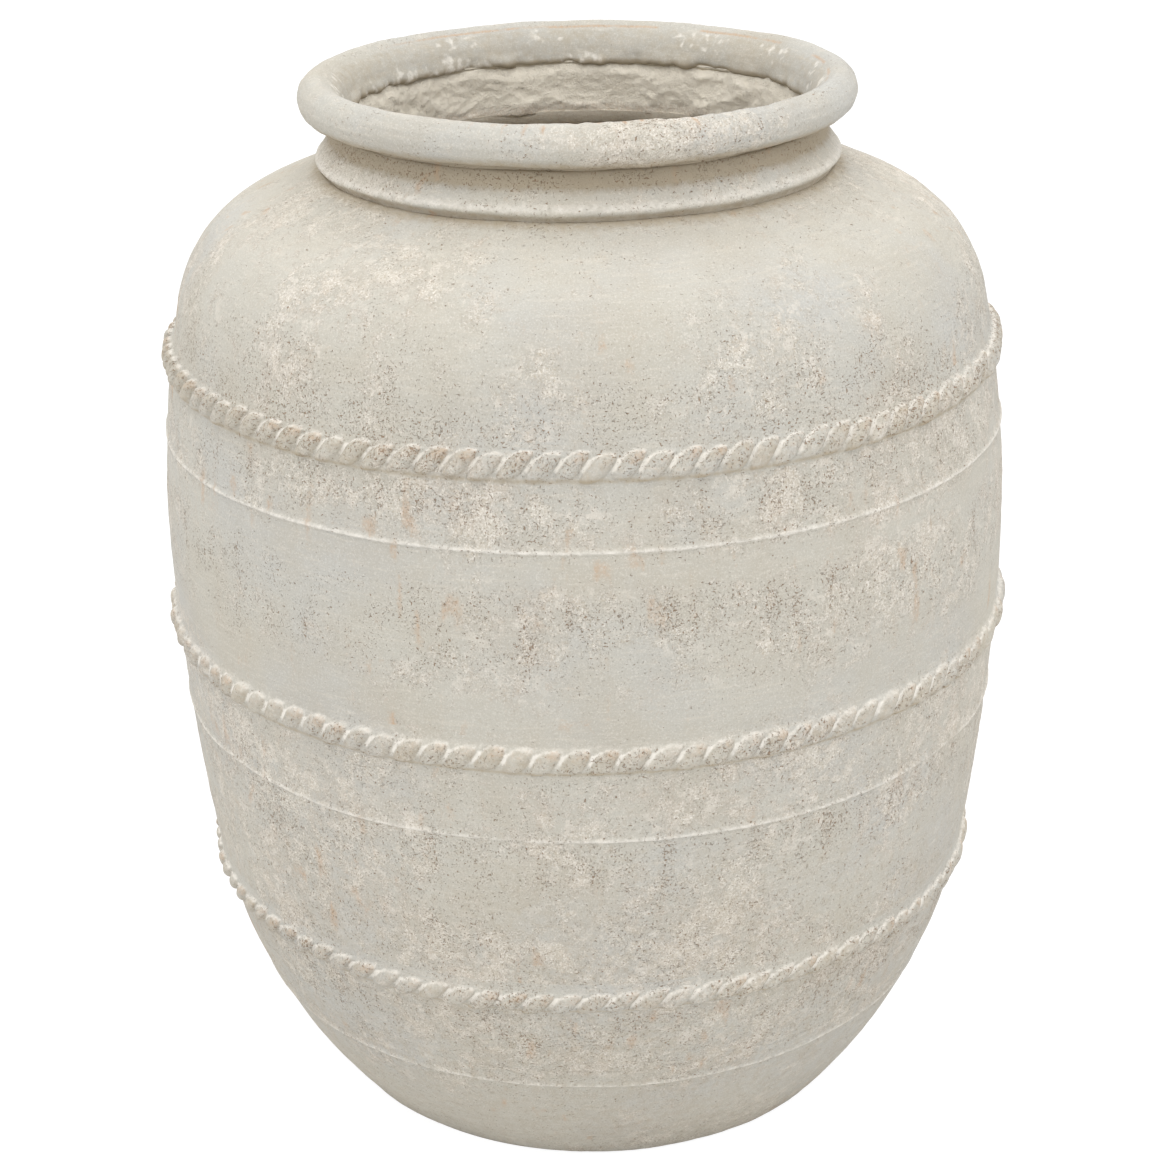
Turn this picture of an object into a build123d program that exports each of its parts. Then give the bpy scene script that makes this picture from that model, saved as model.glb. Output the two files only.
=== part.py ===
from build123d import *

import os
from math import atan2, cos, degrees, pi, radians, sin, tan

os.makedirs("parts", exist_ok=True)

# A pithos: a large storage jar, raised by hand in courses on a flat base.
# Millimetres, +Z up, the axis of the jar on Z and its base on the ground at the origin.

# Heights of the stages, from the ground up
foot_height = 190.5
lower_belly_height = 198.5
upper_belly_height = 203.5
shoulder_height = 128.5
neck_height = 38.0
rim_height = 28.5

# Outer radius of the base, and how far each stage then spreads or draws in
base_radius = 206.0
foot_spread = 88.5
lower_belly_spread = 20.0
upper_belly_taper = 11.0
shoulder_taper = 116.5
neck_seat_width = 21.0

# Wall, base, and how far each course bows out from a straight line between its ends
wall_thickness = 16.0
base_thickness = 22.0
base_edge = 2.5
foot_bulge = 13.0
lower_belly_bulge = 2.9
upper_belly_bulge = 5.8

# Shoulder: a leaning wall, one round bend and a sloping top, angles in degrees
shoulder_lean = 10.8
shoulder_slope = 23.3
shoulder_bend_radius = 95.0

# Bevel of the seams between courses, from the outside up to the inside
seam_rise = 8.0

# Thin raised lines, each placed above the foot of its own course
line_width = 4.0
line_proud = 1.4
foot_line_height = 102.0
lower_belly_line_height = 136.0
upper_belly_line_height = 147.3

# Neck, collar and rim
neck_wall_thickness = 12.0
neck_lute_thickness = 4.0
collar_height = 27.0
collar_flare = 9.5
collar_crest_height = 10.0
collar_edge_height = 5.0
collar_foot_width = 4.0
rim_overhang = 18.5
rim_roll_width = 14.0
rim_lip_drop = 3.0
rim_under_cut = 6.0

# Inner clay: the coil in the base corner and the smears over the seams
base_coil_reach = 34.0
base_coil_rise = 30.0
seam_lute_height = 46.0
seam_lute_flat = 18.0
seam_lute_proud = 5.0

# Rope bands: a strip with rounded-off edges, pressed into lays by slanted creases, angle in degrees
rope_edge = 5.5
lay_slant = 58.0
crease_width = 6.5
crease_depth = 3.2
lower_rope_height = 18.0
lower_rope_proud = 5.2
lower_lay_pitch = 19.5
middle_rope_height = 19.5
middle_rope_proud = 5.0
middle_lay_pitch = 19.4
upper_rope_height = 20.0
upper_rope_proud = 5.6
upper_lay_pitch = 18.3

# Heights of the seams and seats above the ground
lower_seam = foot_height
middle_seam = lower_seam + lower_belly_height
upper_seam = middle_seam + upper_belly_height
neck_seat = upper_seam + shoulder_height
rim_seat = neck_seat + neck_height
rim_top = rim_seat + rim_height

# Outer radii of the seams, radii of the neck, and one that is well outside the jar
lower_seam_radius = base_radius + foot_spread
middle_seam_radius = lower_seam_radius + lower_belly_spread
upper_seam_radius = middle_seam_radius - upper_belly_taper
neck_foot_radius = upper_seam_radius - shoulder_taper
mouth_radius = neck_foot_radius - neck_seat_width
neck_inner_radius = mouth_radius + neck_lute_thickness
neck_outer_radius = neck_inner_radius + neck_wall_thickness
rim_outer_radius = neck_outer_radius + rim_overhang
outside = 2 * middle_seam_radius


def shoulder_bend(inset):
    """Where the leaning wall and the sloping top of the shoulder would meet, moved in by the inset."""
    lean = tan(radians(shoulder_lean))
    slope = tan(radians(shoulder_slope))
    seam_radius = upper_seam_radius - inset
    top = neck_seat - inset / cos(radians(shoulder_slope))
    height = (top - slope * (seam_radius - neck_foot_radius) - lean * slope * upper_seam) / (1 - lean * slope)
    return seam_radius - lean * (height - upper_seam), height


# Half section of everything within the outer wall: a bowed line for each course, then the shoulder
with BuildSketch() as body:
    with BuildLine() as outer_wall:
        foot_line = SagittaArc((base_radius, 0), (lower_seam_radius, lower_seam), -foot_bulge)
        lower_line = SagittaArc(foot_line @ 1, (middle_seam_radius, middle_seam), -lower_belly_bulge)
        upper_line = SagittaArc(lower_line @ 1, (upper_seam_radius, upper_seam), -upper_belly_bulge)
        neck_foot = (neck_foot_radius, neck_seat)
        FilletPolyline(upper_line @ 1, shoulder_bend(0), neck_foot, radius=shoulder_bend_radius)
        Polyline(neck_foot, (0, neck_seat), (0, 0), (base_radius, 0))
    make_face()

# Half section of the hollow: straight between the seams, with the shoulder's corner cut off
inner_bend = shoulder_bend(wall_thickness)
inner_top = inner_bend[1] + (inner_bend[0] - mouth_radius) * tan(radians(shoulder_slope))
bend_turn = radians(90 - shoulder_lean - shoulder_slope)
with BuildSketch() as hollow:
    with BuildLine() as inner_wall:
        Polyline(
            (0, 0),
            (base_radius - wall_thickness, 0),
            (lower_seam_radius - wall_thickness, lower_seam),
            (middle_seam_radius - wall_thickness, middle_seam),
            (upper_seam_radius - wall_thickness, upper_seam),
            inner_bend,
            (mouth_radius, inner_top),
            (mouth_radius, neck_seat),
            (0, neck_seat),
            close=True,
        )
    make_face()
    chamfer(
        hollow.vertices().sort_by_distance(inner_bend)[0],
        (shoulder_bend_radius - wall_thickness) * tan(bend_turn / 2),
    )


def wall_radius(line, height):
    """Radius of a wall line at a height."""
    level = Axis((0, height, 0), (1, 0, 0))
    crossings = [point for edge in line.edges() for point in edge.find_intersection_points(level)]
    return max(point.X for point in crossings)


def seam(radius, height):
    """The bevelled seam between two courses, as a line from the axis to well outside the jar."""
    reach = 1.5 * seam_rise
    return [
        (0, height + reach),
        (radius - 2 * wall_thickness, height + reach),
        (radius + wall_thickness, height - reach),
        (outside, height - reach),
    ]


def between(lower_edge, upper_edge):
    """The whole space between two seams, as a half section."""
    with BuildSketch() as space:
        Polygon(*lower_edge, *reversed(upper_edge), align=None)
    return space.sketch


ground = [(0, 0), (outside, 0)]
base_seam = [(0, base_thickness), (outside, base_thickness)]
lower_course_seam = seam(lower_seam_radius, lower_seam)
middle_course_seam = seam(middle_seam_radius, middle_seam)
upper_course_seam = seam(upper_seam_radius, upper_seam)
neck_seam = [(0, neck_seat), (outside, neck_seat)]

# Base disc, its lower edge worn off
with BuildPart() as base_disc:
    with BuildSketch(Plane.XZ):
        add(body.sketch)
        add(between(ground, base_seam), mode=Mode.INTERSECT)
    revolve(axis=Axis.Z)
    chamfer(base_disc.faces().sort_by(Axis.Z)[0].edges(), base_edge)

# Wall courses: the wall between two seams, with a thin raised line on each but the shoulder
courses = {
    "foot_course": (base_seam, lower_course_seam, foot_line_height),
    "lower_belly_course": (lower_course_seam, middle_course_seam, lower_seam + lower_belly_line_height),
    "upper_belly_course": (middle_course_seam, upper_course_seam, middle_seam + upper_belly_line_height),
    "shoulder_course": (upper_course_seam, neck_seam, None),
}
for course_name, (lower_edge, upper_edge, line_height) in courses.items():
    with BuildPart() as course:
        with BuildSketch(Plane.XZ):
            add(body.sketch)
            add(hollow.sketch, mode=Mode.SUBTRACT)
            if line_height:
                with Locations((wall_radius(outer_wall, line_height), line_height)):
                    Polygon((-line_proud, -line_width), (line_proud, 0), (-line_proud, line_width), align=None)
            add(between(lower_edge, upper_edge), mode=Mode.INTERSECT)
        revolve(axis=Axis.Z)
    course.part.label = course_name
    export_step(course.part, f"parts/{course_name}.step")

# Neck ring, standing on the flat top of the shoulder
with BuildPart() as neck_wall:
    with BuildSketch(Plane.XZ):
        with Locations((neck_inner_radius, neck_seat)):
            Rectangle(neck_wall_thickness, neck_height, align=(Align.MIN, Align.MIN))
    revolve(axis=Axis.Z)

# Smeared clay inside the neck, flush with the mouth
with BuildPart() as neck_lute:
    with BuildSketch(Plane.XZ):
        with Locations((mouth_radius, neck_seat)):
            Rectangle(neck_lute_thickness, neck_height, align=(Align.MIN, Align.MIN))
    revolve(axis=Axis.Z)

# Flared collar round the foot of the neck, undercut so that its lower edge throws a shadow
with BuildPart() as collar_band:
    with BuildSketch(Plane.XZ):
        with Locations((neck_outer_radius, neck_seat)):
            Polygon(
                (0, 0),
                (collar_foot_width, 0),
                (collar_flare, collar_edge_height),
                (collar_flare, collar_crest_height),
                (0, collar_height),
                align=None,
            )
    revolve(axis=Axis.Z)

# Rolled rim: round outside, a top that falls gently to the lip, and a lower inner edge that is cut away
with BuildPart() as rim_roll:
    roll_radius = rim_outer_radius - rim_roll_width
    with BuildSketch(Plane.XZ):
        with BuildLine():
            roll = ThreePointArc(
                (roll_radius, rim_seat),
                (rim_outer_radius, rim_seat + rim_height / 2),
                (roll_radius, rim_top),
            )
            Polyline(
                roll @ 1,
                (mouth_radius, rim_top - rim_lip_drop),
                (mouth_radius, rim_seat + rim_under_cut),
                (mouth_radius + neck_lute_thickness, rim_seat),
                roll @ 0,
            )
        make_face()
    revolve(axis=Axis.Z)

# Coil pressed into the corner between the base and the wall
with BuildPart() as base_coil:
    coil_top = base_thickness + base_coil_rise
    with BuildSketch(Plane.XZ):
        Polygon(
            (wall_radius(inner_wall, base_thickness) - base_coil_reach, base_thickness),
            (outside, base_thickness),
            (outside, coil_top),
            (wall_radius(inner_wall, coil_top), coil_top),
            align=None,
        )
        add(hollow.sketch, mode=Mode.INTERSECT)
    revolve(axis=Axis.Z)

# Smears of clay over the seams inside
seam_lutes = {
    "lower_seam_lute": lower_seam,
    "middle_seam_lute": middle_seam,
    "upper_seam_lute": upper_seam,
}
for lute_name, lute_height in seam_lutes.items():
    with BuildPart() as seam_lute:
        with BuildSketch(Plane.XZ):
            with Locations((wall_radius(inner_wall, lute_height), lute_height)):
                Polygon(
                    (seam_lute_proud, -seam_lute_height / 2),
                    (seam_lute_proud, seam_lute_height / 2),
                    (-seam_lute_proud, seam_lute_flat / 2),
                    (-seam_lute_proud, -seam_lute_flat / 2),
                    align=None,
                )
            add(hollow.sketch, mode=Mode.INTERSECT)
        revolve(axis=Axis.Z)
    seam_lute.part.label = lute_name
    export_step(seam_lute.part, f"parts/{lute_name}.step")


# Rope bands over the seams outside, each on the tilt of the wall behind it
rope_bands = {
    "lower_rope": (lower_seam, lower_rope_height, lower_rope_proud, lower_lay_pitch),
    "middle_rope": (middle_seam, middle_rope_height, middle_rope_proud, middle_lay_pitch),
    "upper_rope": (upper_seam, upper_rope_height, upper_rope_proud, upper_lay_pitch),
}
for rope_name, (rope_level, rope_height, rope_proud, lay_pitch) in rope_bands.items():
    edge = rope_height / 2
    crown = edge - rope_edge
    top_radius = wall_radius(outer_wall, rope_level + edge)
    bottom_radius = wall_radius(outer_wall, rope_level - edge)
    rope_radius = (top_radius + bottom_radius) / 2
    lay_count = round(2 * pi * rope_radius / lay_pitch)
    wall_tilt = atan2(bottom_radius - top_radius, rope_height)
    outward = Vector(cos(wall_tilt), 0, sin(wall_tilt))
    along_lay = Vector(0, 1, 0).rotate(Axis((0, 0, 0), outward), lay_slant)

    # One crease: a notch across the rope, its point short of the wall
    with BuildPart() as crease:
        with BuildSketch(Plane((rope_radius, 0, rope_level), x_dir=along_lay.cross(outward), z_dir=along_lay)):
            Polygon(
                (0, crease_depth - rope_proud),
                (crease_width, -crease_depth - rope_proud),
                (-crease_width, -crease_depth - rope_proud),
                align=None,
            )
        extrude(amount=rope_height, both=True)

    with BuildPart() as rope:
        with BuildSketch(Plane.XZ):
            with Locations(Location((rope_radius, rope_level), degrees(wall_tilt))):
                Polygon(
                    (-rope_proud, -edge),
                    (0, -edge),
                    (rope_proud, -crown),
                    (rope_proud, crown),
                    (0, edge),
                    (-rope_proud, edge),
                    align=None,
                )
            add(body.sketch, mode=Mode.SUBTRACT)
        revolve(axis=Axis.Z)
        with PolarLocations(0, lay_count):
            add(crease.part, mode=Mode.SUBTRACT)
    rope.part.label = rope_name
    export_step(rope.part, f"parts/{rope_name}.step")

# Labels and files of the single pieces
pieces = {
    "base_disc": base_disc,
    "base_coil": base_coil,
    "neck_wall": neck_wall,
    "neck_lute": neck_lute,
    "collar_band": collar_band,
    "rim_roll": rim_roll,
}
for piece_name, piece in pieces.items():
    piece.part.label = piece_name
    export_step(piece.part, f"parts/{piece_name}.step")
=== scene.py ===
import math

import bpy
import numpy as np
from mathutils import Matrix, Vector


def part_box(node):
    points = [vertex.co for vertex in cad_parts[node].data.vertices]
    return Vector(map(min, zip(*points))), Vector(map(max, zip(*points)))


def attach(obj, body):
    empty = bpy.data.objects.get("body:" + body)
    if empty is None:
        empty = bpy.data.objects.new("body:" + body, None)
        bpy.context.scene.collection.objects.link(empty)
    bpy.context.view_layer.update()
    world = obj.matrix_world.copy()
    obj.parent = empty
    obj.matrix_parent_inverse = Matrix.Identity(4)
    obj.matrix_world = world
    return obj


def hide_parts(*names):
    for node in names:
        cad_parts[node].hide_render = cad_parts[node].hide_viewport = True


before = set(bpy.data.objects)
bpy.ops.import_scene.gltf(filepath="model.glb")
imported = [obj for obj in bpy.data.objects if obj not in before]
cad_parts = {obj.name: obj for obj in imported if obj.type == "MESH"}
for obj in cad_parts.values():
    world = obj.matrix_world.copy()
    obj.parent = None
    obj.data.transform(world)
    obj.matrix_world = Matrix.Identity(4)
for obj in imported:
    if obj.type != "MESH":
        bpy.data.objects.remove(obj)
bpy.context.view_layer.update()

# A limewashed pithos: each CAD piece gets a hand-made clay body over it, all in metres.

# Sizes of the jar
base_radius = 0.206
lower_seam_radius, lower_seam = 0.2945, 0.1905
middle_seam_radius, middle_seam = 0.3145, 0.389
upper_seam_radius, upper_seam = 0.3035, 0.5925
neck_foot_radius = 0.187
foot_bulge, lower_belly_bulge, upper_belly_bulge = 0.013, 0.0029, 0.0058
shoulder_lean = math.radians(10.8)
shoulder_slope = math.radians(23.3)
shoulder_bend_radius = 0.095
wall_thickness = 0.016
neck_wall_thickness = 0.012
neck_lute_thickness = 0.004
neck_drawn_in = 0.0056
seam_rise = 0.008

# Places that the frame gives
base_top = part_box("base_disc")[1].z
neck_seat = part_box("neck_wall")[0].z
neck_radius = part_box("neck_wall")[1].x
collar_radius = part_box("collar_band")[1].x
collar_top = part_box("collar_band")[1].z
rim_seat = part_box("rim_roll")[0].z
rim_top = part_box("rim_roll")[1].z
rim_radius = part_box("rim_roll")[1].x
coil_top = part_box("base_coil")[1].z
mouth_radius = neck_radius - neck_wall_thickness - neck_lute_thickness

# Thin raised lines, as heights above the ground, and the shallow groove above the lowest of them
foot_line = 0.102
lower_belly_line = 0.3265
upper_belly_line = 0.5363
line_proud = 0.0016
line_slope_above, line_slope_below = 0.0021, 0.0012
foot_groove = 0.117
groove_depth, groove_slope = 0.0007, 0.0012

# Seed, fading and strength of each raised line
raised_lines = {
    foot_line: (21, 0.05, 0.75),
    lower_belly_line: (23, -0.20, 0.90),
    upper_belly_line: (25, -0.45, 0.95),
}

# Bands of smooth wash (height, half height, strength) and of pitted wash (top, reach down)
calm_bands = ((0.418, 0.018, 0.35), (0.522, 0.009, 0.25), (0.675, 0.040, 0.18), (0.055, 0.050, 0.12))
pitted_bands = ((0.578, 0.040), (0.508, 0.065), (0.3265, 0.060), (0.178, 0.050))

# Usual share of crust and pits, and the finish of the inner clay, which the wash never reached. Its pale
# share is partly painted light, standing in for light that hardly reaches inside the jar
usual_crust, usual_pits = 0.50, 0.50
inner_finish = {"crust": 0.3, "pitted": 0.2, "worn": 0.0, "dirt": 0.0, "bare": 0.25, "pale": 0.80}

# Steps of the clay meshes, closer together where a piece is small and in view
wall_columns, rim_columns, smear_columns = 640, 800, 760
hidden_columns = wall_columns // 2
wall_step = 0.003
inner_step = 0.010
outline_step = 0.0005
fine_step = 0.0012
hidden_step = 0.004


# Noise

noise_cells = 256
noise_dice = np.random.default_rng(411)
noise_order = noise_dice.permutation(noise_cells)
noise_slopes = noise_dice.normal(size=(noise_cells, 3))
noise_slopes /= np.linalg.norm(noise_slopes, axis=1, keepdims=True)
seed_shift = 31.7
lump_gain = 1.5


def lumps(places, size, seed, stretch=(1, 1, 1), depth=1):
    """Smooth random lumps of about this size, between -depth and depth; stretch makes them longer."""
    cells = places / (size * np.array(stretch)) + seed_shift * seed
    corner = np.floor(cells).astype(int)
    part = cells - corner
    ease = part ** 3 * (part * (part * 6 - 15) + 10)
    total = np.zeros(places.shape[:-1])
    last = noise_cells - 1
    for step in np.ndindex(2, 2, 2):
        x, y, z = np.moveaxis(corner + step, -1, 0)
        pick = noise_order[(noise_order[(noise_order[x & last] + y) & last] + z) & last]
        share = np.prod(np.where(step, ease, 1 - ease), axis=-1)
        total += share * (noise_slopes[pick] * (part - step)).sum(axis=-1)
    return depth * (lump_gain * total)


def smooth_step(value, low, high):
    """0 below low, 1 above high, and a soft change between."""
    part = np.clip((value - low) / (high - low), 0, 1)
    return part * part * (3 - 2 * part)


def bell(value, middle, half):
    """1 at the middle, falling off softly to both sides."""
    return np.exp(-((value - middle) / half) ** 2)


# Outline of the wall

def running_length(points):
    """Length along a line up to each of its points."""
    return np.concatenate([[0], np.cumsum(np.hypot(*np.diff(points, axis=0).T))])


def outward_from(along):
    """Unit directions that point to the right of these directions, out of the clay."""
    return np.stack([along[:, 1], -along[:, 0]], axis=1) / np.linalg.norm(along, axis=1, keepdims=True)


def bowed_line(start, end, bulge):
    """Points of a wall line that bows outwards by the bulge."""
    start, end = np.array(start), np.array(end)
    chord = end - start
    length = np.hypot(*chord)
    along = np.linspace(0, 1, int(length / outline_step))[:, None]
    outward = np.array([chord[1], -chord[0]]) / length
    return start + along * chord + 4 * bulge * along * (1 - along) * outward


def shoulder_corner(inset):
    """Where the leaning wall and the sloping top of the shoulder would meet, moved in by the inset."""
    lean, slope = math.tan(shoulder_lean), math.tan(shoulder_slope)
    seam_radius = upper_seam_radius - inset
    top = neck_seat - inset / math.cos(shoulder_slope)
    rise = top - slope * (seam_radius - neck_foot_radius) - lean * slope * upper_seam
    height = rise / (1 - lean * slope)
    return np.array([seam_radius - lean * (height - upper_seam), height])


def rounded_corner(start, corner, end, radius):
    """Points of a line that turns a corner in a round bend."""
    into = (corner - start) / np.hypot(*(corner - start))
    away = (end - corner) / np.hypot(*(end - corner))
    turn = math.acos(into @ away)
    reach = radius * math.tan(turn / 2)
    first = bowed_line(start, corner - reach * into, 0)
    last = bowed_line(corner + reach * away, end, 0)
    angles = np.linspace(0, turn, int(radius * turn / outline_step))[1:-1, None]
    inward = np.array([-into[1], into[0]])
    bend = first[-1] + radius * (np.sin(angles) * into + (1 - np.cos(angles)) * inward)
    return np.vstack([first, bend, last])


def cut_outline():
    """The wall's outer outline from the ground to the neck: length along it, points, outward directions."""
    ground = base_radius, 0
    lower = lower_seam_radius, lower_seam
    middle = middle_seam_radius, middle_seam
    upper = upper_seam_radius, upper_seam
    neck_foot = neck_foot_radius, neck_seat
    points = np.vstack([
        bowed_line(ground, lower, foot_bulge)[:-1],
        bowed_line(lower, middle, lower_belly_bulge)[:-1],
        bowed_line(middle, upper, upper_belly_bulge)[:-1],
        rounded_corner(np.array(upper), shoulder_corner(0), np.array(neck_foot), shoulder_bend_radius),
    ])
    length = running_length(points)

    # The outward directions are evened out, so that they turn softly at the seams
    reach = 12
    window = np.ones(2 * reach + 1) / (2 * reach + 1)
    along = np.pad(np.gradient(points, length, axis=0), ((reach, reach), (0, 0)), mode="edge")
    along = np.stack([np.convolve(part, window, mode="valid") for part in along.T], axis=1)
    return length, points, outward_from(along)


outline_length, outline_points, outline_outward = cut_outline()


def length_at(height):
    """Length along the outline up to a height."""
    return np.interp(height, outline_points[:, 1], outline_length)


def outline_at(length):
    """Points and outward directions of the outline at these lengths along it."""
    place = [np.interp(length, outline_length, part) for part in outline_points.T]
    outward = [np.interp(length, outline_length, part) for part in outline_outward.T]
    return np.stack(place, axis=-1), np.stack(outward, axis=-1)


def around(section, columns):
    """Rows of places round the jar, from the back on, through one (radius, height) a row or a place."""
    angles = math.pi / 2 + np.arange(columns) * 2 * math.pi / columns
    if section.ndim == 2:
        section = np.repeat(section[:, None], columns, axis=1)
    radius, height = np.moveaxis(section, -1, 0)
    return np.stack([radius * np.cos(angles), radius * np.sin(angles), height], axis=-1)


def turned(section, outward, columns, relief):
    """Rows of places round the jar, each moved outwards from the section by the relief at its place."""
    flat = around(section, columns)
    moved = section[:, None] + relief(flat)[..., None] * outward[:, None]
    return around(moved, columns)


# Surface of the outer wall

def wall_relief(flat):
    """How far the hand-made wall stands out from its outline."""
    wobble = lumps(flat, size=0.24, seed=1, depth=0.0016)
    dents = lumps(flat, size=0.060, seed=2, depth=0.0009)
    turning = lumps(flat, size=0.011, seed=3, stretch=(12, 12, 1), depth=0.00028)
    rough = smooth_step(crust_at(flat), 0.35, 0.75)
    grain = (0.00012 + 0.00030 * rough) * lumps(flat, size=0.008, seed=4)
    return wobble + dents + turning + grain + line_relief(flat)


def line_presence(flat, seed, fading):
    """1 where a raised line is whole, less where it is worn away."""
    least, usual, change = 0.50, 0.75, 0.7
    whole = lumps(flat, size=0.11, seed=seed) + lumps(flat, size=0.03, seed=seed + 1, depth=0.35) + usual
    return least + (1 - least) * smooth_step(whole, fading, fading + change)


def line_crests(flat):
    """How strongly each place lies on the crest of a raised line."""
    reach = 0.010
    crest = np.zeros(flat.shape[:-1])
    for height, (seed, fading, strength) in raised_lines.items():
        near = np.abs(flat[..., 2] - height) < reach
        beside = flat[near]
        level = beside[..., 2] - height - lumps(beside, size=0.12, seed=seed + 2, depth=0.0010)
        slope = np.where(level > 0, line_slope_above, line_slope_below)
        crest[near] = strength * line_presence(beside, seed, fading) * bell(level, 0, slope)
    return crest


def line_relief(flat):
    """The thin raised lines, and the shallow groove above the lowest of them."""
    return line_proud * line_crests(flat) - groove_depth * bell(flat[..., 2], foot_groove, groove_slope)


def calm_at(flat):
    """How much smoother the wash is in its calm bands."""
    return sum(strength * bell(flat[..., 2], height, half) for height, half, strength in calm_bands)


def crust_at(flat):
    """Where the crumbly crust lies: about 0 on smooth wash, about 1 on crust."""
    large = lumps(flat, size=0.20, seed=5, depth=0.32)
    middle = lumps(flat, size=0.075, seed=6, stretch=(1.3, 1.3, 1), depth=0.32)
    small = lumps(flat, size=0.03, seed=7, depth=0.26)
    return np.clip(usual_crust + large + middle + small - calm_at(flat), 0, 1)


def runs_at(flat):
    """Narrow upright runs, where water went down the wall."""
    return smooth_step(lumps(flat, size=0.009, seed=12, stretch=(1, 1, 6)), 0.15, 0.55)


def pitted_at(flat):
    """How thickly small pits lie: in patches, and in runs down the wall below the ropes and lines."""
    height = flat[..., 2]
    large = lumps(flat, size=0.09, seed=10, depth=0.12)
    small = lumps(flat, size=0.022, seed=11, depth=0.20)
    on_crust = 0.26 * (crust_at(flat) - usual_crust)
    on_shoulder = smooth_step(height, 0.585, 0.600) * (1 - smooth_step(height, 0.620, 0.700))
    pitted = usual_pits + large + small + on_crust + 0.15 * on_shoulder
    runs = runs_at(flat)
    for top, reach in pitted_bands:
        drop = top - height
        zone = smooth_step(drop, 0, 0.006) * (1 - smooth_step(drop, 0.4 * reach, reach))
        pitted += zone * (0.06 + 0.30 * runs)
    return np.clip(pitted - calm_at(flat), 0, 1)


def stain_at(flat):
    """Small rusty stains that run down the wall here and there."""
    spots = smooth_step(lumps(flat, size=0.009, seed=13, stretch=(1, 1, 3)), 0.30, 0.60)
    stained = smooth_step(lumps(flat, size=0.10, seed=14), 0.00, 0.40)
    return 0.50 * spots * stained + 0.14 * runs_at(flat)


def wall_marks(flat):
    """Finish of the outer wall at each place, with painted shade and painted light in it."""
    height = flat[..., 2]
    # Painted shade under the collar, at the top of the shoulder
    under_neck = smooth_step(height, neck_seat - 0.006, neck_seat)
    # Darker and browner towards the bottom
    lower_half = 1 - smooth_step(height, 0.15, 0.50)
    # Painted light: paler round the neck, lifting the shade under the collar, and paler near the ground,
    # standing in for light from the floor
    round_neck = smooth_step(height, neck_seat - 0.045, neck_seat - 0.012) * (height < neck_seat)
    near_ground = 1 - smooth_step(height, 0.0, 0.11)
    return {
        "crust": crust_at(flat),
        "pitted": pitted_at(flat),
        # Plaster on the crests of the raised lines, partly a painted highlight
        "worn": 0.62 * np.clip(line_crests(flat), 0, 1),
        "dirt": np.clip(0.75 * under_neck + 0.26 * lower_half, 0, 1),
        "bare": stain_at(flat),
        "pale": 0.12 * round_neck + 0.20 * near_ground,
    }


def inner_relief(flat):
    """Finger-pressed lumps of the inner wall."""
    pressed = lumps(flat, size=0.05, seed=8, stretch=(1, 1, 0.5), depth=0.0025)
    return pressed + lumps(flat, size=0.018, seed=9, depth=0.0008)


def inner_marks(flat):
    """Finish of the inner clay, the same all over."""
    return {mark: np.full(flat.shape[:-1], share) for mark, share in inner_finish.items()}


def join_rows(parts):
    """Puts rows of places, and their marks, one after the other."""
    places = np.concatenate([part[0] for part in parts])
    marks = {name: np.concatenate([part[1][name] for part in parts]) for name in parts[0][1]}
    return places, marks


# Finishes, some of which also paint shade and light

wash = (0.489, 0.469, 0.414, 1)
cool_wash = (0.470, 0.462, 0.430, 1)
cream_crust = (0.580, 0.540, 0.468, 1)
rosy_crust = (0.590, 0.526, 0.452, 1)
pale_crust = (0.680, 0.632, 0.560, 1)
clay = (0.500, 0.330, 0.205, 1)
pit_brown = (0.255, 0.158, 0.090, 1)
# Plaster, also used for painted highlights
plaster = (0.805, 0.768, 0.702, 1)
# Pale clay, also used for painted light
pale_clay = (0.810, 0.752, 0.640, 1)
# Soil, also used for painted shade
soil = (0.410, 0.345, 0.250, 1)


def add_node(tree, kind, **values):
    """A new node with these settings."""
    node = tree.nodes.new(kind)
    for name, value in values.items():
        setattr(node, name, value)
    return node


def feed(tree, socket, value):
    """Sets a socket to a value, or links it to another node's output."""
    if isinstance(value, bpy.types.NodeSocket):
        tree.links.new(value, socket)
    else:
        socket.default_value = value


def speckle(tree, place, scale, detail, roughness, distortion=0.0):
    """Noise about 1/scale metres across."""
    node = add_node(tree, "ShaderNodeTexNoise")
    feed(tree, node.inputs["Vector"], place)
    feed(tree, node.inputs["Scale"], scale)
    feed(tree, node.inputs["Detail"], detail)
    feed(tree, node.inputs["Roughness"], roughness)
    feed(tree, node.inputs["Distortion"], distortion)
    return node.outputs["Fac"]


def calculate(tree, operation, first, second):
    """A sum, product or other operation on two values."""
    node = add_node(tree, "ShaderNodeMath", operation=operation)
    feed(tree, node.inputs[0], first)
    feed(tree, node.inputs[1], second)
    return node.outputs[0]


def soft_cut(tree, value, low, high, least=0.0, most=1.0):
    """Changes softly from least below low to most above high."""
    node = add_node(tree, "ShaderNodeMapRange", interpolation_type="SMOOTHSTEP")
    feed(tree, node.inputs["Value"], value)
    feed(tree, node.inputs["From Min"], low)
    feed(tree, node.inputs["From Max"], high)
    feed(tree, node.inputs["To Min"], least)
    feed(tree, node.inputs["To Max"], most)
    return node.outputs["Result"]


def tint(tree, share, under, over):
    """Lays one colour over another by a share; sockets 6, 7 and 2 are the mix node's colours."""
    node = add_node(tree, "ShaderNodeMix", data_type="RGBA")
    feed(tree, node.inputs["Factor"], share)
    feed(tree, node.inputs[6], under)
    feed(tree, node.inputs[7], over)
    return node.outputs[2]


def scaled_place(tree, place, scale):
    """Places stretched or squeezed along the axes."""
    node = add_node(tree, "ShaderNodeVectorMath", operation="MULTIPLY")
    feed(tree, node.inputs[0], place)
    feed(tree, node.inputs[1], scale)
    return node.outputs[0]


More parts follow.
